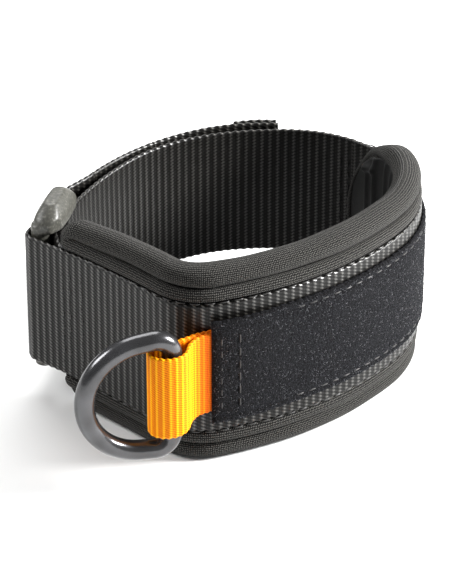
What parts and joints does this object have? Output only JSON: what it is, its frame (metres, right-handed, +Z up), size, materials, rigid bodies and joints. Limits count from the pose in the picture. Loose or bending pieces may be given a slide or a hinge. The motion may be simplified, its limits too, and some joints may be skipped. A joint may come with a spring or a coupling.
{
  "type": "padded limb cuff with tether ring",
  "caption": "Padded black limb cuff that closes with a hook-and-loop strap through a plastic buckle, with a coated D-ring on an orange webbing tab.",
  "frame": {"origin": "on the limb's axis, the centre of the largest circle that fits the opening, on the plane that the lower rolled edge rests on", "axes": "+Z up along the limb, -Y towards the side with the ring tab, -X towards the buckle"},
  "size_m": [0.1121, 0.1256, 0.06],
  "materials": {
    "foam": "closed-cell foam sheet",
    "lining": "smooth brushed lining cloth, charcoal",
    "knit": "fine black-grey knit",
    "webbing": "ribbed black polyester webbing",
    "loop_pile": "black loop pile",
    "hook_tape": "black hook tape",
    "tab_webbing": "orange nylon webbing",
    "thread": "black sewing thread",
    "buckle_plastic": "satin black moulded plastic",
    "coated_steel": "steel wire with black coating"
  },
  "bodies": {
    "cuff": {"pad_foam": "foam", "pad_lining": "lining", "pad_cover": "knit", "edge_binding": "knit", "upper_piping": "knit", "lower_piping": "knit", "front_webbing": "webbing", "closure_strap": "webbing", "loop_panel": "loop_pile", "tab_anchor": "tab_webbing", "binding_stitching": "thread", "panel_stitching": "thread", "keeper_stitching": "thread", "pad_end_stitching": "thread", "tab_stitching": "thread"},
    "buckle": {"buckle_frame": "buckle_plastic", "strap_turn": "webbing"},
    "tail_near": {"tail_near": "webbing", "hook_near": "hook_tape"},
    "tail_middle": {"tail_middle": "webbing", "hook_middle": "hook_tape"},
    "tail_end": {"tail_end": "webbing", "hook_end": "hook_tape", "tail_hem": "webbing", "hem_stitching": "thread"},
    "tab": {"ring_tab": "tab_webbing"},
    "ring": {"d_ring": "coated_steel"}
  },
  "joints": [
    {"name": "buckle_pivot", "type": "hinge", "parent": "cuff", "child": "buckle", "pos_m": [-0.05464, -0.01706, 0.03], "axis": [0, 0, 1], "range_deg": [-8, 8]},
    {"name": "tail_peel", "type": "hinge", "parent": "cuff", "child": "tail_near", "pos_m": [-0.05017, 0.00622, 0.03], "axis": [0, 0, 1], "range_deg": [0, 25]},
    {"name": "tail_curl_middle", "type": "hinge", "parent": "tail_near", "child": "tail_middle", "pos_m": [-0.03457, 0.02643, 0.03], "axis": [0, 0, 1], "range_deg": [0, 25]},
    {"name": "tail_curl_end", "type": "hinge", "parent": "tail_middle", "child": "tail_end", "pos_m": [-0.01397, 0.04185, 0.03], "axis": [0, 0, 1], "range_deg": [0, 25]},
    {"name": "tab_flex", "type": "hinge", "parent": "cuff", "child": "tab", "pos_m": [-0.01016, -0.05844, 0.03], "axis": [0, 0, 1], "range_deg": [-15, 60]},
    {"name": "ring_swing", "type": "hinge", "parent": "tab", "child": "ring", "pos_m": [-0.01776, -0.06644, 0.03], "axis": [0, 0, 1], "range_deg": [-35, 75]}
  ],
  "couplings": [
    {"joint": "tail_curl_middle", "follows": "tail_peel", "ratio": 1},
    {"joint": "tail_curl_end", "follows": "tail_peel", "ratio": 1}
  ]
}
